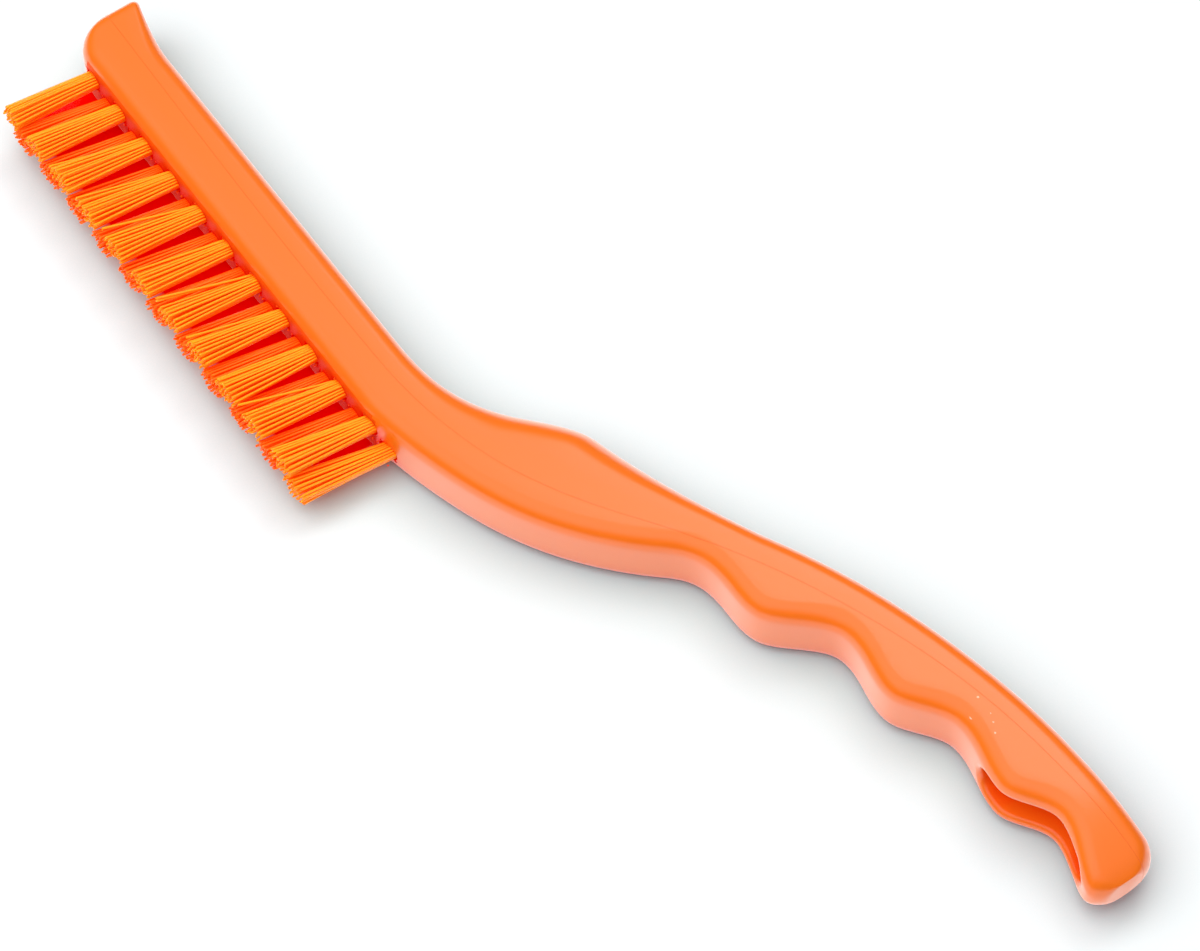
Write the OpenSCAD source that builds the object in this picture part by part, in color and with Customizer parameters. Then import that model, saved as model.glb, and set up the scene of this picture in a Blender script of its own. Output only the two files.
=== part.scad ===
// Hand brush for grout lines: one moulded handle with a narrow head, and two staggered
// rows of bristle tufts, each folded over a flat wire anchor in its own blind hole.
// The brush lies on its side. X runs from the nose to the handle end, Y from the bristle
// tips to the back, and Z across the brush. Its origin is under the middle of its box.

/* [Head] */
// Tufts in each of the two rows
tufts_per_row = 11; // [8:1:13]
// Distance between the middles of neighbouring tufts in a row
tuft_pitch = 8.1; // [7.8:0.1:9]
// Distance between the two rows
row_gap = 3; // [2.6:0.1:3.4]
// Width of the brush from side to side
brush_w = 12.6; // [12.2:0.1:15]
// Height of the head from the bristle face to its back
head_h = 11.5; // [11:0.1:14]
// Solid head in front of the middle of the first tuft
nose_len = 7.5; // [7:0.1:14]
// How far the scraper tip of the nose stands above the back
tip_rise = 2; // [1:0.1:3]
// Length over which the back curves up to the scraper tip
tip_len = 13; // [10:0.5:15]
// Rounding of the nose towards the bristle face
nose_r = 6.5; // [5:0.1:7]

/* [Bristles] */
// Diameter of the blind hole that holds a tuft
hole_d = 3.9; // [3.6:0.1:4.1]
// Depth of the blind hole along its own axis
hole_depth = 8; // [7.5:0.1:8.5]
// Clearance between a hole and what sits in it, all round
hole_fit = 0.05; // [0.04:0.01:0.08]
// Lean of holes and tufts towards the nose, in degrees
tuft_lean = 5.5; // [0:0.5:10]
// Free length of the bristles
bristle_len = 15.6; // [12:0.2:22]
// Thickness of one strand
strand_w = 0.56; // [0.4:0.02:0.6]
// Width of a tuft along the row at its tips
tip_w = 6.6; // [5:0.1:7.4]
// Width of a tuft across the brush at its tips
tip_h = 5.6; // [4.5:0.1:5.8]
// How far the tips of the upper row swing outwards
tip_flare = 1.4; // [1:0.1:1.6]
// How far the tips of the lower row swing towards the upper row
tip_lift = 1; // [0.8:0.1:1.2]

/* [Anchors] */
// Length of the flat wire anchor, which bites into both walls of the hole
anchor_l = 4.6; // [4.4:0.1:4.8]
// Width of the anchor, measured along the hole
anchor_w = 1.6; // [1:0.1:2]
// Thickness of the anchor wire
anchor_t = 0.45; // [0.3:0.05:0.6]
// Turn of the anchors away from the row, in degrees
anchor_turn = 45; // [0:5:90]
// Height of the bristle fold under the anchor
fold_h = 0.9; // [0.6:0.1:1.5]

/* [Handle] */
// How far before the last tuft the back starts to rise
neck_start = 12.4; // [8:0.2:16]
// Length of the neck, from there to the crest of the thumb rest
neck_len = 32; // [28:0.5:38]
// Rise of the back from the head to the crest of the thumb rest
thumb_rise = 15.9; // [12:0.1:20]
// From the crest of the thumb rest to the crown of the grip
crown_len = 95.3; // [92:0.1:110]
// Rise of the back from the thumb rest to the crown of the grip
crown_rise = 26.7; // [20:0.1:32]
// From the crown of the grip to the handle end
tail_len = 11.7; // [11:0.5:16]
// How far before the last tuft the belly starts to rise from the bristle face
belly_start = 5; // [3:0.5:7]
// First finger groove, counted from the crest of the thumb rest
first_groove = 26.8; // [24:0.2:30]
// Length of the first finger groove with its ridge
finger_pitch = 23.1; // [21:0.1:23.6]
// How much shorter each next finger groove is
finger_taper = 0.85; // [0:0.05:1.2]
// Height of the grip in the bottom of a finger groove
waist_h = 9.7; // [8.8:0.1:12]
// Height of the grip at the first finger ridge
ridge_front_h = 14.4; // [12.5:0.1:16]
// Height of the grip at the last finger ridge
ridge_rear_h = 12.5; // [11:0.1:14]

/* [Edges and ends] */
// Rounding along the edges
edge_r = 3; // [2:0.1:3.6]
// Rounding along both edges of the back at the thumb rest
thumb_r = 5.6; // [3.6:0.1:6]
// Rounding of the scraper tip
tip_r = 1.4; // [0.8:0.1:2]
// Rounding of the nose towards both sides
nose_side_r = 2; // [1:0.1:3]
// Rounding of the back down to the handle end, along the brush
end_back_r = 4.2; // [2.5:0.1:7]
// Rounding of the hook under the handle end
end_hook_r = 2.9; // [2.5:0.1:5]
// Length over which the handle end narrows towards its tip
end_narrow = 16; // [12:0.5:20]

/* [Hanging slot] */
// Length of the slot through the handle end
slot_len = 23; // [16:0.5:26]
// Width of the slot
slot_w = 5.8; // [5:0.1:6.6]
// Solid end beyond the slot
slot_end = 4.7; // [4.2:0.1:8]

/* [Hidden] */
tuft_count = 2 * tufts_per_row;
function number(i) = str(i < 10 ? "0" : "", i);
function tuft_name(i) = str("bristle_tuft_", number(i));
function anchor_name(i) = str("anchor_", number(i));

// Places along the brush, counted from the middle of the first tuft
nose_x = -nose_len;
last_tuft_x = (tufts_per_row - 0.5) * tuft_pitch;
rise_x = last_tuft_x - neck_start;
belly_x = last_tuft_x - belly_start;
thumb_x = rise_x + neck_len;
crown_x = thumb_x + crown_len;
end_x = crown_x + tail_len;
slot_to_x = end_x - slot_end;
slot_from_x = slot_to_x - slot_len;
mid_z = brush_w / 2;

// Heights above the bristle face
thumb_y = head_h + thumb_rise;
crown_y = thumb_y + crown_rise;

// Smooth curve through knots of [x, y, slope]
function knot_before(knots, x, i = 0) =
    i >= len(knots) - 2 || x < knots[i + 1][0] ? i : knot_before(knots, x, i + 1);
function blend(a, b, t, w) =
    (2 * t ^ 3 - 3 * t ^ 2 + 1) * a[1] + (t ^ 3 - 2 * t ^ 2 + t) * w * a[2]
    + (3 * t ^ 2 - 2 * t ^ 3) * b[1] + (t ^ 3 - t ^ 2) * w * b[2];
function between(a, b, x) = blend(a, b, (x - a[0]) / (b[0] - a[0]), b[0] - a[0]);
function curve(knots, x, i) = between(knots[i], knots[i + 1], x);
function along(knots, x) =
    curve(knots, min(max(x, knots[0][0]), knots[len(knots) - 1][0]), knot_before(knots, x));

// Knots of one stretch, from shares of its length, of its rise and of its mean slope
function stretch(x, y, w, h, shares) =
    [for (s = shares) [x + s[0] * w, y + s[1] * h, s[2] * h / w]];

// Back of the brush: scraper tip, straight head, neck, thumb rest, dip and crowned grip
tip_steep = 1.65;
neck_shares = [[0, 0, 0], [0.69, 0.54, 1.96]];
grip_shares = [[0, 0, 0.96], [0.33, 0.427, 1.91], [0.738, 0.921, 0.675], [1, 1, 0]];
back_knots = concat(
    [[nose_x, head_h + tip_rise, -tip_steep * tip_rise / tip_len]],
    [[nose_x + tip_len, head_h, 0]],
    stretch(rise_x, head_h, neck_len, thumb_rise, neck_shares),
    stretch(thumb_x, thumb_y, crown_len, crown_rise, grip_shares)
);
function back_y(x) = along(back_knots, x);

// Grip height from back to underside: low in the finger grooves, high at their ridges
groove_count = 4;
ridge_share = 0.58;
function pitch_of(i) = finger_pitch - i * finger_taper;
function groove_x(i) = i == 0 ? thumb_x + first_groove : groove_x(i - 1) + pitch_of(i - 1);
function ridge_x(i) = groove_x(i) + ridge_share * pitch_of(i);
groove_trims = [0, 0, 0.5, -0.6];
function ridge_h(i) =
    ridge_front_h + (ridge_rear_h - ridge_front_h) * i / (groove_count - 1);
grip_knots = [
    for (i = [0:groove_count - 1], ridge = [false, true])
        ridge ? [ridge_x(i), ridge_h(i), 0] : [groove_x(i), waist_h + groove_trims[i], 0]
];

// Belly: the underside from the bristle face up to the first finger groove
belly_shares = [[0, 0, 0.24], [0.365, 0.166, 0.64], [0.728, 0.528, 1.47], [0.928, 0.889, 2.2]];
belly_end_x = groove_x(0);
belly_end_y = back_y(belly_end_x) - waist_h;
step = 0.01;
belly_end_slope = (back_y(belly_end_x + step) - back_y(belly_end_x)) / step;
belly_knots = concat(
    stretch(belly_x, 0, belly_end_x - belly_x, belly_end_y, belly_shares),
    [[belly_end_x, belly_end_y, belly_end_slope]]
);
function under_y(x) =
    x < belly_x ? 0
    : x < belly_end_x ? along(belly_knots, x)
    : back_y(x) - along(grip_knots, x);

// Round corners of the outline at both ends, as what they take off at x
function corner(reach, drop, d) =
    d >= reach ? 0 : drop * (1 - sqrt(max(0, 1 - ((reach - d) / reach) ^ 2)));
end_back_drop = 3.6;
function top_y(x) =
    back_y(x) - corner(tip_r, tip_r, x - nose_x) - corner(end_back_r, end_back_drop, end_x - x);
function low_y(x) =
    under_y(x) + corner(nose_r, nose_r, x - nose_x) + corner(end_hook_r, end_hook_r, end_x - x);

// Half width: rounded at the nose, and narrowing in plan over the handle end
function end_half(d) = mid_z * sqrt(1 - (max(0, end_narrow - d) / (end_narrow + 1.4)) ^ 2);
function half_w(x) =
    end_half(end_x - x) - corner(nose_side_r, nose_side_r, x - nose_x);

// Rounding of the edges at x: large on the back of the thumb rest, small at the tip
thumb_knots = [
    [rise_x, edge_r, 0], [thumb_x, thumb_r, 0], [thumb_x + first_groove, edge_r, 0]
];
tip_edge_r = 1.1;
tip_edge_knots = [[nose_x, tip_edge_r, 0], [nose_x + tip_len, edge_r, 0]];
function top_r(x) = x < rise_x ? along(tip_edge_knots, x) : along(thumb_knots, x);
function slope(x) = (back_y(x + step) - back_y(x)) / step;
function low_slope(x) = (under_y(x + step) - under_y(x)) / step;
function reach(r, s, h) = min(r * sqrt(1 + s ^ 2), 0.46 * h);

// One corner of a section: a quarter ellipse from the face at the side to the edge
corner_steps = 6;
quarter_turn = 90;
function quarter(z, y, rz, ry, from) = [
    for (k = [0:corner_steps])
        let (a = from + quarter_turn * k / corner_steps)
        [y + ry * sin(a), z + rz * cos(a)]
];
function section(x) =
    let (
        top = top_y(x), low = low_y(x), w = half_w(x), h = top - low,
        rt = min(top_r(x), w), rl = min(edge_r, w),
        yt = reach(rt, slope(x), h), yl = reach(rl, low_slope(x), h)
    )
    [
        for (p = concat(
            quarter(mid_z + w - rt, top - yt, rt, yt, 0),
            quarter(mid_z - w + rt, top - yt, rt, yt, 90),
            quarter(mid_z - w + rl, low + yl, rl, yl, 180),
            quarter(mid_z + w - rl, low + yl, rl, yl, 270)
        )) [x, p[0], p[1]]
    ];

// Sections along the brush: close together at both ends, far apart on the straight head
nose_stations = 9;
end_stations = 11;
neck_step = 1.9;
station_share = 0.25;
function spaced(a, b, w) =
    let (n = ceil((b - a) / w))
    [for (i = [0:n - 1]) a + (b - a) * i / n];
end_from_x = end_x - end_back_r;
stations = concat(
    [for (i = [0:nose_stations - 1]) nose_x + nose_r * (1 - cos(90 * i / nose_stations))],
    spaced(nose_x + nose_r, nose_x + tip_len, 2),
    [nose_x + tip_len],
    [
        for (k = [1:tufts_per_row])
            let (x = (k + station_share) * tuft_pitch)
            if (x > nose_x + tip_len + 1 && x < rise_x - 1) x
    ],
    spaced(rise_x, end_from_x, neck_step),
    [for (i = [0:end_stations]) end_from_x + end_back_r * sin(90 * i / end_stations)]
);

// Closed skin over a list of rings with the same number of points
function skin_faces(rings, n) = concat(
    [[for (k = [0:n - 1]) k]],
    [
        for (j = [0:rings - 2], k = [0:n - 1], half = [0, 1])
            let (a = j * n + k, b = j * n + (k + 1) % n)
            half == 0 ? [a, a + n, b] : [b, a + n, b + n]
    ],
    [[for (k = [n - 1:-1:0]) (rings - 1) * n + k]]
);
module skin(rings) {
    n = len(rings[0]);
    polyhedron(
        points = [for (r = rings, p = r) p],
        faces = skin_faces(len(rings), n),
        convexity = 8
    );
}

// Middle of the box that the brush fills
top_of_all = max([for (x = stations) top_y(x)]);
low_of_all = -bristle_len * cos(tuft_lean);
origin = [(nose_x + end_x) / 2, (low_of_all + top_of_all) / 2, 0];

// Tufts 1 to 11 stand in the upper row, the rest in the lower row half a pitch further on
function in_upper_row(i) = i <= tufts_per_row;
function tuft_x(i) =
    in_upper_row(i) ? (i - 1) * tuft_pitch : (i - tufts_per_row - 0.5) * tuft_pitch;
function tuft_side(i) = in_upper_row(i) ? 1 : -1;

// Puts what stands on the local Z axis into hole i: z runs down the hole from its mouth
module at_hole(i) {
    translate([tuft_x(i), 0, mid_z + tuft_side(i) * row_gap / 2])
        rotate([0, 0, -tuft_lean])
            rotate([-90, 0, 0])
                children();
}

// Blind hole, and the slit that the anchor shaves into its wall on the way down
mouth = 3;
anchor_end_z = hole_depth - fold_h;
module hole() {
    translate([0, 0, -mouth])
        cylinder(d = hole_d, h = mouth + hole_depth, $fn = 48);
}
module slit() {
    long = anchor_l + 2 * hole_fit;
    wide = anchor_t + 2 * hole_fit;
    rotate([0, 0, anchor_turn])
        translate([-long / 2, -wide / 2, -mouth])
            cube([long, wide, mouth + anchor_end_z + hole_fit]);
}

// Slot that the brush hangs by, from the underside through to the back
module hanging_slot() {
    through = crown_y + edge_r;
    translate([0, 0, mid_z])
        rotate([-90, 0, 0])
            linear_extrude(height = through)
                hull()
                    for (x = [slot_from_x + slot_w / 2, slot_to_x - slot_w / 2])
                        translate([x, 0])
                            circle(d = slot_w, $fn = 48);
}

module handle() {
    color("#ff7a2e")
        translate(-origin)
            difference() {
                skin([for (x = stations) section(x)]);
                for (i = [1:tuft_count]) at_hole(i) union() {
                    hole();
                    slit();
                }
                hanging_slot();
            }
}

// Strands of a tuft stand on a hexagon of rings, which fans out towards the tips
strand_rings = 2;
lattice = [
    for (u = [-strand_rings:strand_rings], v = [-strand_rings:strand_rings])
        if (abs(u + v) <= strand_rings) [u + v / 2, v]
];
plug_d = hole_d - 2 * hole_fit;
root_pitch = (plug_d - strand_w * sqrt(2)) / (2 * strand_rings);
tip_pitch_x = (tip_w - strand_w) / (2 * strand_rings);
tip_pitch_z = (tip_h - strand_w) / (2 * strand_rings);
strand_root = 0.8;
function trimmed_z(x) = x * tan(tuft_lean) - bristle_len;
tip_scatter = 0.3;
plug_proud = 0.2;

// Four-sided strand from its root in the bundle to its tip
function square_at(p) = [
    for (c = [[-1, -1], [1, -1], [1, 1], [-1, 1]])
        [p[0] + c[0] * strand_w / 2, p[1] + c[1] * strand_w / 2, p[2]]
];
strand_faces = concat(
    [[0, 1, 2], [0, 2, 3], [4, 6, 5], [4, 7, 6]],
    [for (k = [0:3], half = [0, 1])
        let (n = (k + 1) % 4)
        half == 0 ? [k, k + 4, n] : [n, k + 4, n + 4]]
);
module strand(root, tip) {
    polyhedron(points = concat(square_at(tip), square_at(root)), faces = strand_faces);
}

// Bristle tuft i: the folded bundle in its hole, and the strands that stand out of it
module bristle_tuft(i) {
    scatter = rands(0, tip_scatter, len(lattice), i);
    swing = in_upper_row(i) ? tip_flare : tip_lift;
    color("#ff9a24")
        translate(-origin)
            at_hole(i)
                difference() {
                    union() {
                        translate([0, 0, -plug_proud])
                            cylinder(
                                d = plug_d, h = hole_depth - hole_fit + plug_proud, $fn = 48
                            );
                        for (k = [0:len(lattice) - 1])
                            strand(
                                [
                                    lattice[k][0] * root_pitch,
                                    lattice[k][1] * root_pitch * sqrt(3) / 2,
                                    strand_root
                                ],
                                [
                                    lattice[k][0] * tip_pitch_x,
                                    lattice[k][1] * tip_pitch_z - swing,
                                    scatter[k] + trimmed_z(lattice[k][0] * tip_pitch_x)
                                ]
                            );
                    }
                    anchor_wire(hole_fit);
                }
}

// Flat wire across the hole that the bundle is folded over
module anchor_wire(fit) {
    size = [anchor_l, anchor_t, anchor_w] + 2 * fit * [1, 1, 1];
    translate([0, 0, anchor_end_z - anchor_w / 2])
        rotate([0, 0, anchor_turn])
            cube(size, center = true);
}
module anchor(i) {
    color("silver")
        translate(-origin)
            at_hole(i) anchor_wire(0);
}

handle();
for (i = [1:tuft_count]) {
    bristle_tuft(i);
    anchor(i);
}
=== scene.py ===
"""Looks of the grout brush: handle, bristle tufts, seam, small bits, floor, light and camera.

Sizes are in millimetres in the brush's own drawing: x from the middle of the first tuft,
y up from the bristle face, z across the brush. row() turns them into metres in the frame.
"""

import math
import random

import bmesh
import bpy
import numpy as np
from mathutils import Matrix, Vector


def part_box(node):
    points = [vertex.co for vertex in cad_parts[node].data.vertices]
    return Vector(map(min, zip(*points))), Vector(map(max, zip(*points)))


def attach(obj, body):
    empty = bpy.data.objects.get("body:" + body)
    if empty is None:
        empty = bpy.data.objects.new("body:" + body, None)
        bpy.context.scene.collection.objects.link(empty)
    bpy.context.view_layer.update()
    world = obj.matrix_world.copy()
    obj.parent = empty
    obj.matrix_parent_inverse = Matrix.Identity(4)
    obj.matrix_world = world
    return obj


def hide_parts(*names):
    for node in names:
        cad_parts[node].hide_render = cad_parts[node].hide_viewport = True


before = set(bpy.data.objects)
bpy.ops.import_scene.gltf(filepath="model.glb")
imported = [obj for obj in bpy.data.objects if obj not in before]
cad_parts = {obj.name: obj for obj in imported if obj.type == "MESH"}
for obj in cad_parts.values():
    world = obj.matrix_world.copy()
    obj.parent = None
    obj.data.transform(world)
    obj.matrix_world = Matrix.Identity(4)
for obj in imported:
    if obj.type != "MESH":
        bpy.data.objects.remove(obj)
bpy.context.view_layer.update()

MM = 0.001

# Head
TUFTS_PER_ROW = 11
TUFT_PITCH = 8.1
ROW_GAP = 3.0
BRUSH_W = 12.6
HEAD_H = 11.5
NOSE_LEN = 7.5
TIP_RISE = 2.0
TIP_LEN = 13.0
NOSE_R = 6.5

# Bristles and the holes that they stand in
HOLE_D = 3.9
HOLE_DEPTH = 8.0
HOLE_FIT = 0.05
TUFT_LEAN = math.radians(5.5)
BRISTLE_LEN = 15.6
TIP_W = 6.6
TIP_H = 5.6
TIP_FLARE = 1.4
TIP_LIFT = 1.0
FILAMENT_D = 0.43

# Anchors
ANCHOR_L = 4.6
ANCHOR_T = 0.45
ANCHOR_TURN = math.radians(45)
FOLD_H = 0.9

# Handle
NECK_START = 12.4
NECK_LEN = 32.0
THUMB_RISE = 15.9
CROWN_LEN = 95.3
CROWN_RISE = 26.7
TAIL_LEN = 11.7
BELLY_START = 5.0
FIRST_GROOVE = 26.8
FINGER_PITCH = 23.1
FINGER_TAPER = 0.85
WAIST_H = 9.7
RIDGE_FRONT_H = 14.4
RIDGE_REAR_H = 12.5

# Edges and ends
EDGE_R = 3.0
THUMB_R = 5.6
TIP_R = 1.4
NOSE_SIDE_R = 2.0
END_BACK_R = 4.2
END_BACK_DROP = 3.6
END_HOOK_R = 2.9
END_NARROW = 16.0
END_BLUNT = 1.4
EDGE_SHARE = 0.46
TIP_EDGE_R = 1.1

# Hanging slot
SLOT_LEN = 23.0
SLOT_W = 5.8
SLOT_END = 4.7
RIM_R = 1.1

# Places along the brush
NOSE_X = -NOSE_LEN
LAST_TUFT_X = (TUFTS_PER_ROW - 0.5) * TUFT_PITCH
RISE_X = LAST_TUFT_X - NECK_START
BELLY_X = LAST_TUFT_X - BELLY_START
THUMB_X = RISE_X + NECK_LEN
CROWN_X = THUMB_X + CROWN_LEN
END_X = CROWN_X + TAIL_LEN
SLOT_TO_X = END_X - SLOT_END
SLOT_FROM_X = SLOT_TO_X - SLOT_LEN
MID_Z = BRUSH_W / 2
THUMB_Y = HEAD_H + THUMB_RISE

handle_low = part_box("handle")[0]
ORIGIN = np.array([NOSE_X - handle_low.x / MM, -handle_low.y / MM, -handle_low.z / MM])


def row(points):
    """Points of the drawing, in millimetres, as points of the frame, in metres."""
    return (np.asarray(points, dtype=float) - ORIGIN) * MM


# Outline of the handle: smooth curves through knots of (x, y, slope)
def along(knots, x):
    x = min(max(x, knots[0][0]), knots[-1][0])
    i = 0
    while i < len(knots) - 2 and x >= knots[i + 1][0]:
        i += 1
    a, b = knots[i], knots[i + 1]
    w = b[0] - a[0]
    t = (x - a[0]) / w
    return (
        (2 * t**3 - 3 * t**2 + 1) * a[1]
        + (t**3 - 2 * t**2 + t) * w * a[2]
        + (3 * t**2 - 2 * t**3) * b[1]
        + (t**3 - t**2) * w * b[2]
    )


def stretch(x, y, w, h, shares):
    """Knots of one stretch, from shares of its length, its rise and its mean slope."""
    return [(x + s[0] * w, y + s[1] * h, s[2] * h / w) for s in shares]


TIP_STEEP = 1.65
NECK_SHARES = [(0, 0, 0), (0.69, 0.54, 1.96)]
GRIP_SHARES = [(0, 0, 0.96), (0.33, 0.427, 1.91), (0.738, 0.921, 0.675), (1, 1, 0)]
BACK_KNOTS = (
    [(NOSE_X, HEAD_H + TIP_RISE, -TIP_STEEP * TIP_RISE / TIP_LEN)]
    + [(NOSE_X + TIP_LEN, HEAD_H, 0)]
    + stretch(RISE_X, HEAD_H, NECK_LEN, THUMB_RISE, NECK_SHARES)
    + stretch(THUMB_X, THUMB_Y, CROWN_LEN, CROWN_RISE, GRIP_SHARES)
)
GROOVES = 4
GROOVE_TRIMS = (0, 0, 0.5, -0.6)
RIDGE_SHARE = 0.58
STEP = 0.01


def back_y(x):
    return along(BACK_KNOTS, x)


def back_slope(x):
    return (back_y(x + STEP) - back_y(x)) / STEP


def grip_knots():
    """Height of the grip: low in the finger grooves, high at their ridges."""
    knots = []
    x = THUMB_X + FIRST_GROOVE
    for i in range(GROOVES):
        pitch = FINGER_PITCH - i * FINGER_TAPER
        high = RIDGE_FRONT_H + (RIDGE_REAR_H - RIDGE_FRONT_H) * i / (GROOVES - 1)
        knots += [(x, WAIST_H + GROOVE_TRIMS[i], 0), (x + RIDGE_SHARE * pitch, high, 0)]
        x += pitch
    return knots


GRIP_KNOTS = grip_knots()
BELLY_SHARES = [(0, 0, 0.24), (0.365, 0.166, 0.64), (0.728, 0.528, 1.47), (0.928, 0.889, 2.2)]
BELLY_END_X = THUMB_X + FIRST_GROOVE
BELLY_END_Y = back_y(BELLY_END_X) - WAIST_H
BELLY_KNOTS = stretch(BELLY_X, 0, BELLY_END_X - BELLY_X, BELLY_END_Y, BELLY_SHARES) + [
    (BELLY_END_X, BELLY_END_Y, back_slope(BELLY_END_X))
]


def under_y(x):
    if x < BELLY_X:
        return 0.0
    if x < BELLY_END_X:
        return along(BELLY_KNOTS, x)
    return back_y(x) - along(GRIP_KNOTS, x)


def under_slope(x):
    return (under_y(x + STEP) - under_y(x)) / STEP


def corner(reach, drop, d):
    """What a round corner of the outline takes off at distance d from the end."""
    return 0.0 if d >= reach else drop * (1 - math.sqrt(max(0, 1 - ((reach - d) / reach) ** 2)))


def top_y(x):
    return back_y(x) - corner(TIP_R, TIP_R, x - NOSE_X) - corner(END_BACK_R, END_BACK_DROP, END_X - x)


def low_y(x):
    return under_y(x) + corner(NOSE_R, NOSE_R, x - NOSE_X) + corner(END_HOOK_R, END_HOOK_R, END_X - x)


def half_w(x):
    narrow = max(0, END_NARROW - (END_X - x)) / (END_NARROW + END_BLUNT)
    return MID_Z * math.sqrt(1 - narrow**2) - corner(NOSE_SIDE_R, NOSE_SIDE_R, x - NOSE_X)


THUMB_KNOTS = [(RISE_X, EDGE_R, 0), (THUMB_X, THUMB_R, 0), (THUMB_X + FIRST_GROOVE, EDGE_R, 0)]
TIP_EDGE_KNOTS = [(NOSE_X, TIP_EDGE_R, 0), (NOSE_X + TIP_LEN, EDGE_R, 0)]


def edges(x):
    """Half width, top, underside and the reaches of both edge roundings, at x."""
    top, low, w = top_y(x), low_y(x), half_w(x)
    full = EDGE_SHARE * (top - low)
    rt = min(along(TIP_EDGE_KNOTS if x < RISE_X else THUMB_KNOTS, x), w)
    rl = min(EDGE_R, w)
    yt = min(rt * math.hypot(1, back_slope(x)), full)
    yl = min(rl * math.hypot(1, under_slope(x)), full)
    return w, top, low, rt, yt, rl, yl


CORNER_STEPS = 10
FLAT_STEPS = 6
SIDE_STEPS = 4


def quarter(z, y, rz, ry, start):
    turns = [math.radians(start + 90 * k / CORNER_STEPS) for k in range(CORNER_STEPS + 1)]
    return [(y + ry * math.sin(a), z + rz * math.cos(a)) for a in turns]


def ring(x):
    """One section of the handle, with its flats divided."""
    w, top, low, rt, yt, rl, yl = edges(x)
    corners = [
        quarter(MID_Z + w - rt, top - yt, rt, yt, 0),
        quarter(MID_Z - w + rt, top - yt, rt, yt, 90),
        quarter(MID_Z - w + rl, low + yl, rl, yl, 180),
        quarter(MID_Z + w - rl, low + yl, rl, yl, 270),
    ]
    out = []
    for k, pts in enumerate(corners):
        out += pts
        after = corners[(k + 1) % 4][0]
        parts = FLAT_STEPS if k in (0, 2) else SIDE_STEPS
        for j in range(1, parts):
            t = j / parts
            out.append(tuple(pts[-1][i] + (after[i] - pts[-1][i]) * t for i in (0, 1)))
    return [(x, y, z) for y, z in out]


def surface_y(x, z, above):
    """Height of the handle's back or underside over the point (x, z)."""
    w, top, low, rt, yt, rl, yl = edges(x)
    y, r, reach = (top, rt, yt) if above else (low, rl, yl)
    over = max(0.0, abs(z - MID_Z) - (w - r))
    fall = reach * (1 - math.sqrt(max(0.0, 1 - (over / r) ** 2)))
    return y - fall if above else y + fall


def surface_z(x, y):
    """How far the handle's side stands from its middle plane at (x, y)."""
    w, top, low, rt, yt, rl, yl = edges(x)
    if y > top - yt:
        over, r = (y - (top - yt)) / yt, rt
    elif y < low + yl:
        over, r = (low + yl - y) / yl, rl
    else:
        return w
    return w - r + r * math.sqrt(max(0.0, 1 - over**2))


def mesh_object(name, points, faces, material):
    mesh = bpy.data.meshes.new(name)
    mesh.from_pydata([tuple(p) for p in row(points)], [], faces)
    mesh.validate()
    mesh.update()
    obj = bpy.data.objects.new(name, mesh)
    bpy.context.scene.collection.objects.link(obj)
    if material:
        obj.data.materials.append(material)
    return obj


def tube_faces(rings, n, first=0, closed=False):
    """Faces of a skin over rings of n points, with caps unless the rings close."""
    faces = []
    last = rings if closed else rings - 1
    for j in range(last):
        a, b = first + j * n, first + (j + 1) % rings * n
        for k in range(n):
            faces.append((a + k, b + k, b + (k + 1) % n, a + (k + 1) % n))
    if not closed:
        faces.append(tuple(first + k for k in range(n)))
        faces.append(tuple(first + (rings - 1) * n + k for k in reversed(range(n))))
    return faces


def outward(obj):
    """Turns all the faces of a closed mesh outward."""
    bm = bmesh.new()
    bm.from_mesh(obj.data)
    bmesh.ops.recalc_face_normals(bm, faces=bm.faces)
    bm.to_mesh(obj.data)
    bm.free()
    return obj


def smooth(obj, degrees):
    """Smooth shading, but for edges sharper than the angle."""
    obj.data.shade_smooth()
    obj.data.set_sharp_from_angle(angle=math.radians(degrees))


def srgb(r, g, b):
    """Linear colour from the 0 to 255 values of a picture."""
    parts = [c / 255 for c in (r, g, b)]
    return [c / 12.92 if c <= 0.04045 else ((c + 0.055) / 1.055) ** 2.4 for c in parts] + [1.0]


# Materials
PAINTED_SHADE_SAMPLES = 6
GRAIN_DETAIL = 3
GRAIN_H = 0.1


def open_share(nodes, reach, samples):
    """How open the surface lies, from 0 to 1, as far as the reach in millimetres."""
    shelter = nodes.new("ShaderNodeAmbientOcclusion")
    shelter.samples = samples
    shelter.inputs["Distance"].default_value = reach * MM
    return shelter.outputs["AO"]


def ramp_of(nodes, links, value, low, high):
    """Colour between two pairs of position and colour."""
    ramp = nodes.new("ShaderNodeValToRGB")
    for element, (position, colour) in zip(ramp.color_ramp.elements, (low, high)):
        element.position, element.color = position, colour
    links.new(value, ramp.inputs["Fac"])
    return ramp


def add_painted_shade(nodes, links, shader, colour, specular, painted_shade):
    """Painted shade: deep colour and no gloss where the surface is sheltered, in place of the shade
    and the many bounces of light there.

    painted_shade: the deep colour, how far it looks for shelter, and the open shares where the deep
    colour ends and where the plain one starts.
    """
    deep, reach, start, stop = painted_shade
    share = open_share(nodes, reach, PAINTED_SHADE_SAMPLES)
    ramp = ramp_of(nodes, links, share, (start, deep), (stop, colour))
    links.new(ramp.outputs["Color"], shader.inputs["Base Color"])
    gloss = nodes.new("ShaderNodeMapRange")
    gloss.inputs["From Min"].default_value = start
    gloss.inputs["From Max"].default_value = stop
    gloss.inputs["To Max"].default_value = specular
    links.new(share, gloss.inputs["Value"])
    links.new(gloss.outputs["Result"], shader.inputs["Specular IOR Level"])


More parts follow.
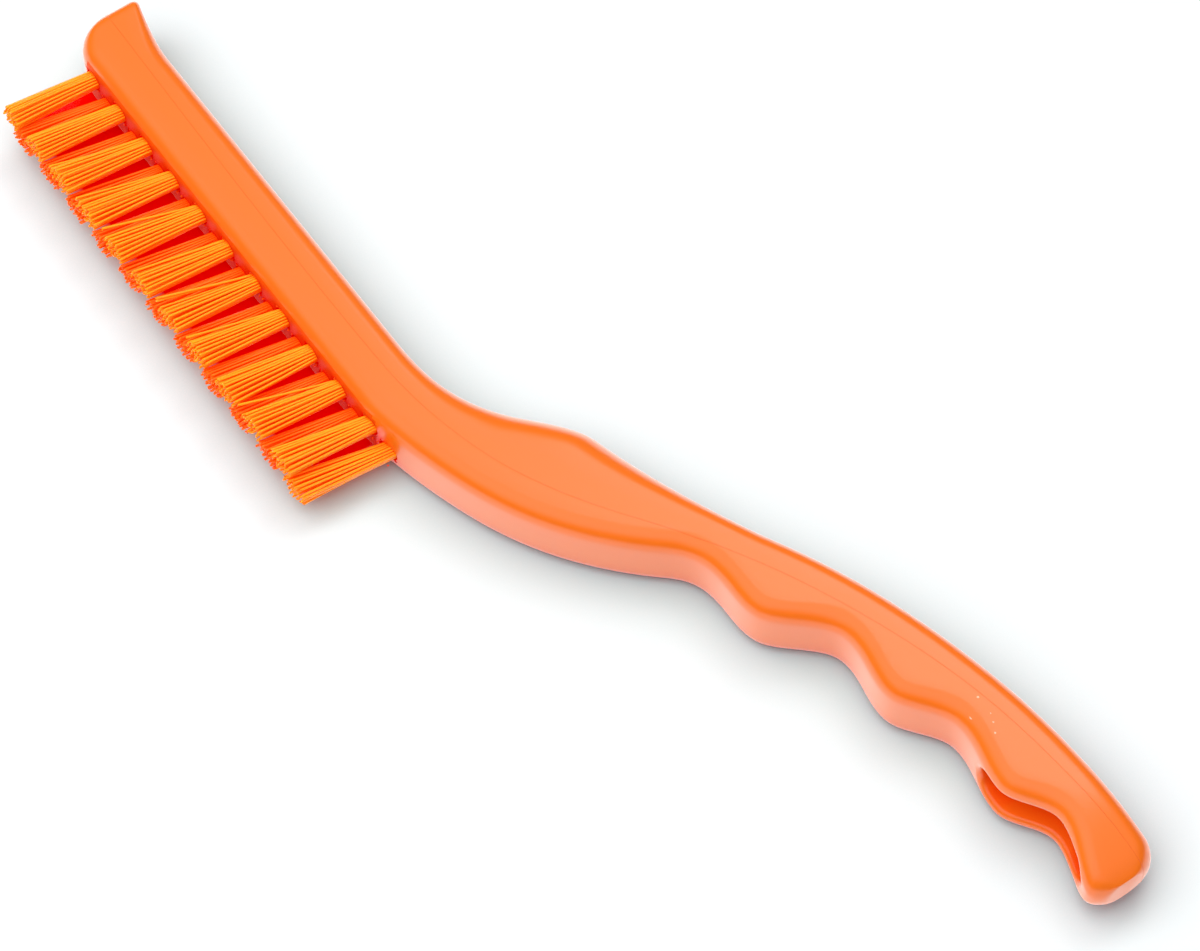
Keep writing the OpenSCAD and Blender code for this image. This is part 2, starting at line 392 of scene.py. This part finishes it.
def add_grain(nodes, links, shader, strength, size):
    """Fine unevenness of a moulded surface."""
    place = nodes.new("ShaderNodeTexCoord")
    noise = nodes.new("ShaderNodeTexNoise")
    noise.inputs["Scale"].default_value = 1 / (size * MM)
    noise.inputs["Detail"].default_value = GRAIN_DETAIL
    bump = nodes.new("ShaderNodeBump")
    bump.inputs["Strength"].default_value = strength
    bump.inputs["Distance"].default_value = GRAIN_H * MM
    links.new(place.outputs["Object"], noise.inputs["Vector"])
    links.new(noise.outputs["Fac"], bump.inputs["Height"])
    links.new(bump.outputs["Normal"], shader.inputs["Normal"])


def plastic(name, colour, roughness, grain=0.0, grain_size=1.5, specular=0.5, painted_shade=None):
    mat = bpy.data.materials.new(name)
    mat.use_nodes = True
    nodes, links = mat.node_tree.nodes, mat.node_tree.links
    shader = nodes["Principled BSDF"]
    shader.inputs["Base Color"].default_value = colour
    shader.inputs["Roughness"].default_value = roughness
    shader.inputs["Specular IOR Level"].default_value = specular
    # Painted shade in sheltered places, when the material asks for it
    if painted_shade:
        add_painted_shade(nodes, links, shader, colour, specular, painted_shade)
    if grain:
        add_grain(nodes, links, shader, grain, grain_size)
    return mat


def shader_inputs(mat):
    return mat.node_tree.nodes["Principled BSDF"].inputs


# Orange plastic with painted shade: deep red and no gloss in the slot, the holes and other sheltered
# places
HANDLE_MAT = plastic(
    "orange_plastic", srgb(255, 117, 12), 0.3, grain=0.03, grain_size=1.5, specular=0.6,
    painted_shade=(srgb(255, 26, 0), 7.0, 0.4, 0.8),
)
shader_inputs(HANDLE_MAT)["Coat Weight"].default_value = 0.15
shader_inputs(HANDLE_MAT)["Coat Roughness"].default_value = 0.2
SEAM_MAT = plastic("seam_plastic", srgb(244, 104, 18), 0.35, specular=0.5)
FLECK_MAT = plastic("fleck_plastic", srgb(255, 205, 168), 0.5)
# Deeper orange and duller than the handle's plastic, like the shaded bristle face: painted shade for
# crumbs among the tuft roots
CRUMB_MAT = plastic("crumb_plastic", srgb(255, 92, 26), 0.6, specular=0.1)
# Painted shade: a darker, less glossy copy of the orange plastic for the bristle face in the
# bristles' shade, deep red where sheltered
SHADED_FACE_MAT = plastic(
    "shaded_plastic", srgb(255, 98, 12), 0.5, specular=0.15,
    painted_shade=(srgb(225, 6, 0), 7.0, 0.35, 0.9),
)


SOAK_DEPTH = 0.6


def bristle_plastic(name, colour):
    """Translucent filament with a subsurface soak, painted shade where it is sheltered, and a painted
    orange glow that lightens it.
    """
    mat = plastic(name, colour, 0.4, specular=0.35, painted_shade=(srgb(215, 14, 0), 6.0, 0.08, 0.5))
    inputs = shader_inputs(mat)
    inputs["Subsurface Weight"].default_value = 0.5
    inputs["Subsurface Radius"].default_value = (1.0, 0.25, 0.05)
    inputs["Subsurface Scale"].default_value = SOAK_DEPTH * MM
    # Painted light: an orange glow of the filament itself, brighter than the lamps alone make it
    inputs["Emission Color"].default_value = srgb(255, 80, 0)
    inputs["Emission Strength"].default_value = 0.26
    return mat


BRISTLE_MAT = bristle_plastic("bristle_filament", srgb(255, 168, 24))
# Painted shade: a darker copy of the bristle material for the lower-row tufts in the upper row's
# shade
SHADED_MAT = bristle_plastic("shaded_filament", srgb(255, 116, 14))
WIRE_MAT = plastic("anchor_wire", srgb(200, 200, 198), 0.3)
shader_inputs(WIRE_MAT)["Metallic"].default_value = 1.0


# Stations of the handle: close together where it ends and bends
NOSE_STATIONS = 14
END_STATIONS = 20
BODY_STEP = 0.9


def quarter_turns(count):
    """Angles that divide a quarter turn, from 0 up to but not with its end."""
    return [math.pi / 2 * i / count for i in range(count)]


def stations():
    start, stop = NOSE_X + NOSE_R, END_X - END_BACK_R
    count = math.ceil((stop - start) / BODY_STEP)
    xs = [NOSE_X + NOSE_R * (1 - math.cos(a)) for a in quarter_turns(NOSE_STATIONS)]
    xs += [start + (stop - start) * i / count for i in range(count)]
    xs += [stop + END_BACK_R * math.sin(a) for a in quarter_turns(END_STATIONS) + [math.pi / 2]]
    return xs


# Holes and tufts: 1 to 11 in the upper row, the rest half a pitch further on
TUFTS = range(1, 2 * TUFTS_PER_ROW + 1)


def tuft_side(i):
    return 1 if i <= TUFTS_PER_ROW else -1


def tuft_x(i):
    return (i - 1) * TUFT_PITCH if i <= TUFTS_PER_ROW else (i - TUFTS_PER_ROW - 0.5) * TUFT_PITCH


def at_hole(i, points):
    """Points in the drawing from points of hole i, where z runs down the hole from its mouth."""
    p = np.asarray(points, dtype=float)
    lean_c, lean_s = math.cos(TUFT_LEAN), math.sin(TUFT_LEAN)
    x, y, z = p[:, 0], p[:, 2], -p[:, 1]
    middle_z = MID_Z + tuft_side(i) * ROW_GAP / 2
    return np.column_stack(
        [tuft_x(i) + lean_c * x + lean_s * y, -lean_s * x + lean_c * y, middle_z + z]
    )


def turned(u, v):
    """A place along and across the anchor as a place in the hole."""
    c, s = math.cos(ANCHOR_TURN), math.sin(ANCHOR_TURN)
    return u * c - v * s, u * s + v * c


MOUTH = 3.0
HOLE_SIDES = 40


def hole_tool(i):
    """Round cutter of hole i."""
    rings = []
    for z in (-MOUTH, HOLE_DEPTH):
        turns = [2 * math.pi * k / HOLE_SIDES for k in range(HOLE_SIDES)]
        rings += [(HOLE_D / 2 * math.cos(a), HOLE_D / 2 * math.sin(a), z) for a in turns]
    obj = mesh_object(f"tool_{i}", at_hole(i, rings), tube_faces(2, HOLE_SIDES), None)
    return outward(obj)


def slit_tool(i):
    """Cutter of the slit that the anchor shaves into both walls of hole i."""
    long, wide = ANCHOR_L / 2 + HOLE_FIT, ANCHOR_T / 2 + HOLE_FIT
    flat = [(-long, -wide), (long, -wide), (long, wide), (-long, wide)]
    levels = (-MOUTH, HOLE_DEPTH - FOLD_H + HOLE_FIT)
    pts = [(*turned(u, v), z) for z in levels for u, v in flat]
    return outward(mesh_object(f"slit_{i}", at_hole(i, pts), tube_faces(2, 4), None))


RIM_STEPS = 7
RIM_TURN = math.radians(78)
SLOT_ARC_STEPS = 20
SLOT_FLAT_STEPS = 18
RIM_OVERRUN = 0.4
SLOT_BEYOND = 4.0


def slot_outline():
    """Points and outward normals round the slot, seen from the back."""
    r = SLOT_W / 2
    out = []
    for cx, start in ((SLOT_TO_X - r, -90), (SLOT_FROM_X + r, 90)):
        for k in range(SLOT_ARC_STEPS):
            a = math.radians(start + 180 * k / SLOT_ARC_STEPS)
            out.append((cx + r * math.cos(a), MID_Z + r * math.sin(a), math.cos(a), math.sin(a)))
        side = 1 if start == -90 else -1
        span = SLOT_LEN - SLOT_W
        for k in range(SLOT_FLAT_STEPS):
            out.append((cx - side * span * k / SLOT_FLAT_STEPS, MID_Z + side * r, 0, side))
    return out


def rim_loops(outline, above):
    """Loops of the slot's cutter from inside the handle out through one round rim."""
    side = 1 if above else -1
    loops = []
    for k in range(RIM_STEPS + 1):
        a = RIM_TURN * k / RIM_STEPS
        out, sink = RIM_R * (1 - math.cos(a)), RIM_R * (1 - math.sin(a))
        loop = []
        for x, z, nx, nz in outline:
            px, pz = x + nx * out, z + nz * out
            loop.append((px, surface_y(px, pz, above) - side * sink, pz))
        loops.append(loop)
    grow = math.tan(RIM_TURN) * RIM_OVERRUN
    loops.append([
        (p[0] + o[2] * grow, p[1] + side * RIM_OVERRUN, p[2] + o[3] * grow)
        for p, o in zip(loops[-1], outline)
    ])
    loops.append([(x, y + side * SLOT_BEYOND, z) for x, y, z in loops[-1]])
    return loops


def slot_tool():
    """Cutter of the hanging slot, flared at both ends so that its rims come out round."""
    outline = slot_outline()
    loops = rim_loops(outline, False)[::-1] + rim_loops(outline, True)
    pts = [p for loop in loops for p in loop]
    return outward(mesh_object("slot_tool", pts, tube_faces(len(loops), len(outline)), None))


def cut(obj, tools):
    """Takes the tools away from obj, and removes them."""
    for tool in tools:
        mod = obj.modifiers.new("cut", "BOOLEAN")
        mod.operation = "DIFFERENCE"
        mod.solver = "EXACT"
        mod.object = tool
    bpy.context.view_layer.update()
    done = obj.evaluated_get(bpy.context.evaluated_depsgraph_get())
    mesh = bpy.data.meshes.new_from_object(done)
    obj.modifiers.clear()
    obj.data = mesh
    for tool in tools:
        bpy.data.objects.remove(tool)


FACE_REACH = 0.4


def paint_face_shade(obj):
    """Gives the bristle face, which stands in the bristles' shade, a darker and less glossy copy of
    the plastic as painted shade.
    """
    obj.data.materials.append(SHADED_FACE_MAT)
    top = row([(0, FACE_REACH, 0)])[0][1]
    start, stop = [row([(x, 0, 0)])[0][0] for x in (-HOLE_D / 2, LAST_TUFT_X + HOLE_D / 2)]
    for face in obj.data.polygons:
        if face.center.y < top and start < face.center.x < stop:
            face.material_index = 1


def build_handle():
    rings = [ring(x) for x in stations()]
    pts = [p for r in rings for p in r]
    obj = mesh_object("handle_moulding", pts, tube_faces(len(rings), len(rings[0])), HANDLE_MAT)
    outward(obj)
    cut(obj, [slot_tool()] + [hole_tool(i) for i in TUFTS])
    cut(obj, [slit_tool(i) for i in TUFTS])
    smooth(obj, degrees=32)
    paint_face_shade(obj)
    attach(obj, "root")
    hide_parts("handle")


# Filaments: each is folded under the anchor, so both its ends stand out of the hole
TUFT_SEED = 400
FILAMENT_SIDES = 6
HEX_STEP = 0.46
HEX_ROW = HEX_STEP * 0.866
HEX_REACH = 7
BUNDLE_R = 1.7
SPOT_JITTER = 0.03
SPIN_TURN = 6.28
SPIN_TILT = 0.2

# Folds: room beside the anchor, the share of its depth where a filament has come beside it,
# and how far a fold hangs below the anchor
FOLD_ROOM = 0.02
FOLD_GAP = ANCHOR_T / 2 + FOLD_ROOM
LANE_SHARE = 0.6
FOLD_ROUND = 0.5
FOLD_LEAST = 0.15

# Free ends: how they scatter, fan, bow and curl, and how worn tips differ from cut ones
TIP_SCATTER = 0.08
TRIM_SCATTER = (-0.1, 0.4)
STRAND_STEPS = 5
STRAND_ROOT = 0.3
FAN_POWER = 1.08
BOW = 0.05
TIP_CURL = 0.1
WORN_SHARE = 0.35
WORN_DROP, WORN_TAPER = 0.25, 0.6
CUT_DROP, CUT_TAPER = 0.02, 0.92

# Strays swing out of some tufts towards the nose, and some tips stand moved or close together
STRAYS = {3: 3, 4: 2, 7: 2, 8: 1, 5: 1, 10: 1}
STRAY_FROM_X = -0.6
STRAY_BELOW_Y = 0.4
STRAY_CHANCE = 0.3
STRAY_SWING = (0.9, 2.0)
TIPS_MOVED = {1: 1.1, 2: 0.5, 9: 0.4, 22: -0.6}
TIPS_CLOSED = {1: 0.76, 2: 0.92}

# Tufts in the shade of the upper row, which take the darker copy of the bristle material as painted
# shade
SHADED = range(TUFTS_PER_ROW + 1, 2 * TUFTS_PER_ROW)


def bundle(rng):
    """Places of the filaments' ends on one side of the anchor, in the anchor's own turn."""
    spots = []
    for j in range(int(BUNDLE_R / HEX_ROW) + 1):
        v = HEX_ROW * (j + 0.5)
        for k in range(-HEX_REACH, HEX_REACH + 1):
            u = HEX_STEP * (k + (j % 2) / 2)
            if math.hypot(u, v) <= BUNDLE_R:
                aside = [rng.uniform(-SPOT_JITTER, SPOT_JITTER) for _ in range(2)]
                spots.append((u + aside[0], v + aside[1]))
    return spots


def sweep(path, radii, spin):
    """Rings of points round a path."""
    rings = []
    last = len(path) - 1
    for i, p in enumerate(path):
        a, b = path[max(0, i - 1)], path[min(last, i + 1)]
        t = (Vector(b) - Vector(a)).normalized()
        side = t.cross(Vector((math.cos(spin), math.sin(spin), SPIN_TILT))).normalized()
        up = t.cross(side)
        for k in range(FILAMENT_SIDES):
            turn = 2 * math.pi * k / FILAMENT_SIDES
            q = Vector(p) + (side * math.cos(turn) + up * math.sin(turn)) * radii[i]
            rings.append(tuple(q))
    return rings


def tip_of(i, x, y, rng):
    """Where a filament that leaves the hole at (x, y) ends."""
    sx = (TIP_W - FILAMENT_D) / (2 * BUNDLE_R)
    sy = (TIP_H - FILAMENT_D) / (2 * BUNDLE_R)
    swing = TIP_FLARE if tuft_side(i) == 1 else TIP_LIFT
    across = x * sx * TIPS_CLOSED.get(i, 1) + TIPS_MOVED.get(i, 0) + rng.gauss(0, TIP_SCATTER)
    trimmed = across * math.tan(TUFT_LEAN) - BRISTLE_LEN
    height = y * sy - swing + rng.gauss(0, TIP_SCATTER)
    return [across, height, trimmed + rng.uniform(*TRIM_SCATTER)]


def strand(root, tip, rng):
    """Path and radii of one free end, from its tip to the mouth of the hole."""
    bow = (rng.gauss(0, BOW), rng.gauss(0, BOW))
    curl = (rng.gauss(0, TIP_CURL), rng.gauss(0, TIP_CURL))
    drop, taper = (WORN_DROP, WORN_TAPER) if rng.random() < WORN_SHARE else (CUT_DROP, CUT_TAPER)
    path = []
    for k in range(STRAND_STEPS + 1):
        t = 1 - k / STRAND_STEPS
        fan, swell = t**FAN_POWER, math.sin(math.pi * t)
        path.append([
            root[0] + (tip[0] - root[0]) * fan + bow[0] * swell,
            root[1] + (tip[1] - root[1]) * fan + bow[1] * swell,
            STRAND_ROOT + (tip[2] - STRAND_ROOT) * t,
        ])
    path.insert(0, [path[0][0] + curl[0], path[0][1] + curl[1], path[0][2] - drop])
    radii = [FILAMENT_D / 2 * taper] + [FILAMENT_D / 2] * (STRAND_STEPS + 1)
    return path, radii


def may_stray(i, x, y):
    """Whether a filament stands where its tuft shows towards the nose."""
    return x < STRAY_FROM_X and tuft_side(i) * y < STRAY_BELOW_Y


def filament(i, u, v, strays, rng):
    """Path and radii of one folded filament, and how many strays its tuft has left."""
    deep = HOLE_DEPTH - FOLD_H
    ends = []
    for side in (1, -1):
        x, y = turned(u, side * v)
        tip = tip_of(i, x, y, rng)
        if strays and may_stray(i, x, y) and rng.random() < STRAY_CHANCE:
            strays -= 1
            tip[0] -= rng.uniform(*STRAY_SWING)
        path, radii = strand((x, y), tip, rng)
        lane = turned(u, side * max(v, FOLD_GAP + FILAMENT_D / 2))
        path += [[*lane, deep * LANE_SHARE], [*lane, deep]]
        radii += [FILAMENT_D / 2] * 2
        ends.append((path, radii))
    sink = min(FOLD_H - FILAMENT_D / 2 - HOLE_FIT, v * FOLD_ROUND + FOLD_LEAST)
    path = ends[0][0] + [[*turned(u, 0), deep + sink]] + ends[1][0][::-1]
    radii = ends[0][1] + [FILAMENT_D / 2] + ends[1][1][::-1]
    return path, radii, strays


def build_tuft(i):
    rng = random.Random(TUFT_SEED + i)
    pts, faces = [], []
    strays = STRAYS.get(i, 0)
    for u, v in bundle(rng):
        path, radii, strays = filament(i, u, v, strays, rng)
        faces += tube_faces(len(path), FILAMENT_SIDES, len(pts))
        pts += sweep(path, radii, rng.uniform(0, SPIN_TURN))
    material = SHADED_MAT if i in SHADED else BRISTLE_MAT
    obj = mesh_object(f"tuft_{i:02d}", at_hole(i, pts), faces, material)
    smooth(obj, degrees=70)
    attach(obj, "root")
    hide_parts(f"bristle_tuft_{i:02d}")


# Fine moulding seam: round both sides, the nose and the handle end
SEAM_W = 0.17
SEAM_H = 0.03
SEAM_STEPS = 260
SIDE_WEIGHT = 50
SEAM_KNOTS = [
    (NOSE_X, 7.4, -0.02),
    (RISE_X + 2, 6.6, 0.02),
    (RISE_X + 26, 10.7, 0.33),
    (THUMB_X + 16.5, 22.9, 0.72),
    (THUMB_X + 42.5, 38.0, 0.44),
    (CROWN_X - 16.5, 48.7, 0.13),
    (END_X, 50.6, 0.03),
]


def seam_loop():
    """Points of the seam along one side, round the end, and back along the other."""
    side = []
    for k in range(SEAM_STEPS + 1):
        x = NOSE_X + (END_X - NOSE_X) * (1 - math.cos(math.pi * k / SEAM_STEPS)) / 2
        y = along(SEAM_KNOTS, x)
        side.append((x, y, surface_z(x, y)))
    loop = [(x, y, MID_Z + z) for x, y, z in side]
    loop += [(END_X, side[-1][1], MID_Z + side[-1][2] * t) for t in (0.5, 0, -0.5)]
    loop += [(x, y, MID_Z - z) for x, y, z in reversed(side)]
    loop += [(NOSE_X, side[0][1], MID_Z + side[0][2] * t) for t in (-0.5, 0, 0.5)]
    return loop


def build_seam():
    loop = seam_loop()
    pts, n = [], len(loop)
    up = Vector((0, 1, 0))
    for k, p in enumerate(loop):
        run = (Vector(loop[(k + 1) % n]) - Vector(loop[k - 1])).normalized()
        out = up.cross(run).normalized()
        if out.dot(Vector((p[0] - (NOSE_X + END_X) / 2, 0, (p[2] - MID_Z) * SIDE_WEIGHT))) < 0:
            out.negate()
        across = run.cross(out).normalized()
        p = Vector(p)
        pts += [
            tuple(p + across * SEAM_W / 2 - out * SEAM_H),
            tuple(p + out * SEAM_H),
            tuple(p - across * SEAM_W / 2 - out * SEAM_H),
        ]
    obj = mesh_object("moulding_seam", pts, tube_faces(n, 3, closed=True), SEAM_MAT)
    outward(obj)
    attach(obj, "root")


# Small bits: plastic shaved off at the holes, and flecks on the grip
BALL_SIDES = 6
BALL_TILTS = (-0.9, 0.0, 0.9)
BALL = [
    (math.cos(a) * math.cos(b), math.sin(a) * math.cos(b), math.sin(b))
    for b in BALL_TILTS
    for a in [2 * math.pi * k / BALL_SIDES for k in range(BALL_SIDES)]
]
LUMP_GROWTH = (0.65, 1.2)
SHAVING_SEED = 77
SHAVING_COUNTS = (1, 2, 3)
SHAVING_TURN = 0.25
SHAVING_OUT = 0.25
SHAVING_DEPTH = (-0.25, 0.02)
SHAVING_SIZE = (0.22, 0.5)


def blob(middle, size, rng):
    """A small rough lump as points and faces."""
    pts = []
    for p in BALL:
        grow = rng.uniform(*LUMP_GROWTH)
        pts.append(tuple(m + c * s / 2 * grow for m, c, s in zip(middle, p, size)))
    return pts, tube_faces(len(BALL_TILTS), BALL_SIDES)


def add_lump(pts, faces, lump):
    first = len(pts)
    pts += lump[0]
    faces += [tuple(first + v for v in f) for f in lump[1]]


def shaving(i, end, rng):
    """A crumb by hole i, near one end of its anchor's slit."""
    turn = ANCHOR_TURN + rng.uniform(-SHAVING_TURN, SHAVING_TURN)
    out = end * (HOLE_D / 2 + rng.uniform(0.0, SHAVING_OUT))
    middle = (out * math.cos(turn), out * math.sin(turn), rng.uniform(*SHAVING_DEPTH))
    pts, faces = blob(middle, [rng.uniform(*SHAVING_SIZE) for _ in range(3)], rng)
    return list(map(tuple, at_hole(i, pts))), faces


def build_shavings():
    rng = random.Random(SHAVING_SEED)
    pts, faces = [], []
    for i in TUFTS:
        for end in (1, -1):
            for _ in range(rng.choice(SHAVING_COUNTS) if end == 1 else 1):
                add_lump(pts, faces, shaving(i, end, rng))
    obj = outward(mesh_object("hole_shavings", pts, faces, CRUMB_MAT))
    smooth(obj, degrees=60)
    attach(obj, "root")


# Flecks on the side of the grip that shows: x, y and size
FLECKS = [
    (176.1, 46.7, 0.5),
    (178.1, 43.8, 0.6),
    (179.3, 46.6, 0.3),
    (180.7, 46.0, 0.35),
    (182.3, 45.1, 0.4),
]
FLECK_SEED = 5
FLECK_H = 0.05
FLECK_SHARE = 0.8


def build_flecks():
    rng = random.Random(FLECK_SEED)
    pts, faces = [], []
    for x, y, size in FLECKS:
        middle = (x, y, MID_Z + surface_z(x, y))
        add_lump(pts, faces, blob(middle, (size, size * FLECK_SHARE, FLECK_H), rng))
    obj = outward(mesh_object("surface_flecks", pts, faces, FLECK_MAT))
    smooth(obj, degrees=60)
    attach(obj, "root")


def dress_anchor(i):
    """The anchor stays the part's own solid, with the look of a wire."""
    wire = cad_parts[f"anchor_{i:02d}"]
    wire.data.materials.clear()
    wire.data.materials.append(WIRE_MAT)


build_handle()
build_seam()
build_shavings()
build_flecks()
for i in TUFTS:
    build_tuft(i)
    dress_anchor(i)


# Camera at the photograph's place
VIEW_HEADING = math.radians(144.555)
VIEW_ELEVATION = math.radians(60)
VIEW_DISTANCE = 0.6951
VIEW_TARGET = Vector(row([(105.865, 26.943, 0)])[0])
SENSOR_W = 36.0
VIEW_LENS = 132.0


def build_camera():
    data = bpy.data.cameras.new("camera")
    data.sensor_width = SENSOR_W
    data.lens = VIEW_LENS
    data.clip_start = 0.01
    cam = bpy.data.objects.new("camera", data)
    bpy.context.scene.collection.objects.link(cam)
    level = math.cos(VIEW_ELEVATION)
    look = Vector((
        level * math.cos(VIEW_HEADING), level * math.sin(VIEW_HEADING), -math.sin(VIEW_ELEVATION)
    ))
    cam.location = VIEW_TARGET - look * VIEW_DISTANCE
    cam.rotation_euler = look.to_track_quat("-Z", "Y").to_euler()
    bpy.context.scene.camera = cam


# Floor: white, with a painted shadow that is cooler and darker close to the brush
FLOOR_SIZE = 6.0
FLOOR_DROP = 0.02
FLOOR_SAMPLES = 8
FLOOR_SHADE = (0.905, 0.94, 0.95, 1)
# Painted shadow: the floor's colour where it lies close to the brush
NEAR_PAINTED_SHADOW = (0.56, 0.80, 0.82, 1)
NEAR_REACH = 21.0
NEAR_FROM = 0.45
NEAR_TO = 0.99
# Painted reflection: the floor glows white to glossy rays only
PAINTED_REFLECTION_GLOW = 1.0

# Painted red light on the floor under the bristles: the open shares where it is full and where it
# ends, and its patch
# Painted light: the red of the floor under the bristles, and how strongly it glows to the camera
PAINTED_RED_LIGHT = srgb(235, 4, 0)
PAINTED_RED_GLOW = 0.2
TINT_REACH = 16.0
TINT_FROM = 0.75
TINT_TO = 0.96
TINT_INSET = 5.0
TINT_X = (-3.4, LAST_TUFT_X - TINT_INSET)
TINT_Y = (-BRISTLE_LEN + TINT_INSET, 8.0)
TINT_EDGE = 2.2


def product(nodes, links, a, b):
    """Product of a value and another, which may be a plain number."""
    both = nodes.new("ShaderNodeMath")
    both.operation = "MULTIPLY"
    links.new(a, both.inputs[0])
    if isinstance(b, float):
        both.inputs[1].default_value = b
    else:
        links.new(b, both.inputs[1])
    return both.outputs[0]


def within(nodes, links, value, low, high, edge):
    """Share from 0 to 1 of a value that lies from low to high, soft over the edge."""
    shares = []
    for start, stop in ((low - edge, low), (high + edge, high)):
        span = nodes.new("ShaderNodeMapRange")
        span.inputs["From Min"].default_value = start
        span.inputs["From Max"].default_value = stop
        links.new(value, span.inputs["Value"])
        shares.append(span.outputs["Result"])
    return product(nodes, links, *shares)


def painted_floor_shadow(nodes, links):
    """Painted shadow: floor colour that cools and darkens close to the brush, also against its orange
    bounce.
    """
    share = open_share(nodes, NEAR_REACH, FLOOR_SAMPLES)
    ramp = ramp_of(nodes, links, share, (NEAR_FROM, NEAR_PAINTED_SHADOW), (NEAR_TO, FLOOR_SHADE))
    return ramp.outputs["Color"]


def painted_light_amount(nodes, links):
    """How far the floor takes the painted red light: sheltered, and within the patch under the
    bristles.
    """
    shade = nodes.new("ShaderNodeMapRange")
    shade.inputs["From Min"].default_value = TINT_TO
    shade.inputs["From Max"].default_value = TINT_FROM
    links.new(open_share(nodes, TINT_REACH, FLOOR_SAMPLES), shade.inputs["Value"])
    place = nodes.new("ShaderNodeTexCoord")
    split = nodes.new("ShaderNodeSeparateXYZ")
    links.new(place.outputs["Object"], split.inputs[0])
    low, high = row([(x, y, 0) for x, y in zip(TINT_X, TINT_Y)])
    amount = shade.outputs["Result"]
    for k, axis in enumerate("XY"):
        share = within(nodes, links, split.outputs[axis], low[k], high[k], TINT_EDGE * MM)
        amount = product(nodes, links, amount, share)
    return amount


def paint_bristle_light(nodes, links, matte, painted_glow):
    """Painted light: a red patch on the floor under the bristles, and a red glow there seen only by
    the camera, in place of light that comes through them.
    """
    amount = painted_light_amount(nodes, links)
    mix = nodes.new("ShaderNodeMix")
    mix.data_type = "RGBA"
    links.new(amount, mix.inputs["Factor"])
    links.new(painted_floor_shadow(nodes, links), mix.inputs["A"])
    mix.inputs["B"].default_value = PAINTED_RED_LIGHT
    links.new(mix.outputs["Result"], matte.inputs["Color"])
    seen = nodes.new("ShaderNodeLightPath").outputs["Is Camera Ray"]
    bright = product(nodes, links, amount, PAINTED_RED_GLOW)
    links.new(product(nodes, links, bright, seen), painted_glow.inputs["Strength"])
    painted_glow.inputs["Color"].default_value = PAINTED_RED_LIGHT


def added(nodes, links, a, b):
    """Both shaders together."""
    both = nodes.new("ShaderNodeAddShader")
    links.new(a.outputs[0], both.inputs[0])
    links.new(b.outputs[0], both.inputs[1])
    return both


def floor_material():
    """Matte white with the painted shadow near the brush and the painted red light under the
    bristles, and a painted white glow that shows only in the plastic's reflections.
    """
    mat = bpy.data.materials.new("white_floor")
    mat.use_nodes = True
    nodes, links = mat.node_tree.nodes, mat.node_tree.links
    nodes.clear()
    out = nodes.new("ShaderNodeOutputMaterial")
    matte = nodes.new("ShaderNodeBsdfDiffuse")
    painted_glow = nodes.new("ShaderNodeEmission")
    paint_bristle_light(nodes, links, matte, painted_glow)
    glow = nodes.new("ShaderNodeEmission")
    mirrored = nodes.new("ShaderNodeLightPath").outputs["Is Glossy Ray"]
    links.new(product(nodes, links, mirrored, PAINTED_REFLECTION_GLOW), glow.inputs["Strength"])
    lit = added(nodes, links, matte, painted_glow)
    links.new(added(nodes, links, lit, glow).outputs[0], out.inputs["Surface"])
    return mat


def build_floor():
    h = FLOOR_SIZE / 2
    mesh = bpy.data.meshes.new("floor")
    mesh.from_pydata([(-h, -h, 0), (h, -h, 0), (h, h, 0), (-h, h, 0)], [], [(0, 1, 2, 3)])
    floor = bpy.data.objects.new("floor", mesh)
    bpy.context.scene.collection.objects.link(floor)
    floor.data.materials.append(floor_material())
    floor.location.z = -FLOOR_DROP * MM


# World and lamps
SKY_DARK = 0.12
SKY_BRIGHT = 0.66
SKY_FROM = 0.5
SKY_TO = 0.84


def build_world():
    """White overhead dome that goes dark towards the horizon, and white to the camera."""
    world = bpy.data.worlds.new("studio")
    bpy.context.scene.world = world
    world.use_nodes = True
    nodes, links = world.node_tree.nodes, world.node_tree.links
    nodes.clear()
    out = nodes.new("ShaderNodeOutputWorld")
    sky = nodes.new("ShaderNodeBackground")
    white = nodes.new("ShaderNodeBackground")
    white.inputs["Color"].default_value = (1, 1, 1, 1)
    white.inputs["Strength"].default_value = 1
    mix = nodes.new("ShaderNodeMixShader")
    rays = nodes.new("ShaderNodeLightPath")
    place = nodes.new("ShaderNodeTexCoord")
    split = nodes.new("ShaderNodeSeparateXYZ")
    links.new(place.outputs["Generated"], split.inputs[0])
    low, high = ((at, (c, c, c, 1)) for at, c in ((SKY_FROM, SKY_DARK), (SKY_TO, SKY_BRIGHT)))
    ramp = ramp_of(nodes, links, split.outputs["Z"], low, high)
    ramp.color_ramp.interpolation = "EASE"
    links.new(ramp.outputs["Color"], sky.inputs["Color"])
    links.new(rays.outputs["Is Camera Ray"], mix.inputs["Fac"])
    links.new(sky.outputs[0], mix.inputs[1])
    links.new(white.outputs[0], mix.inputs[2])
    links.new(mix.outputs[0], out.inputs["Surface"])


def softbox(name, place, size, power, reflected=True, lights=True):
    """Square lamp aimed at the middle of the frame; it may show only in gloss, or not in it."""
    data = bpy.data.lights.new(name, "AREA")
    data.shape = "SQUARE"
    data.size = size
    data.energy = power
    data.diffuse_factor = 1.0 if lights else 0.0
    lamp = bpy.data.objects.new(name, data)
    bpy.context.scene.collection.objects.link(lamp)
    lamp.location = place
    lamp.visible_glossy = reflected
    aim = Vector((0, 0, 0)) - Vector(place)
    lamp.rotation_euler = aim.to_track_quat("-Z", "Y").to_euler()


build_camera()
build_floor()
build_world()
softbox("key", place=(-0.10, -0.42, 1.1), size=1.5, power=13.9, reflected=False)
softbox("grip_shine", place=(-0.34, 0.56, 1.04), size=0.5, power=2.2, lights=False)

scene = bpy.context.scene
scene.view_settings.view_transform = "Standard"
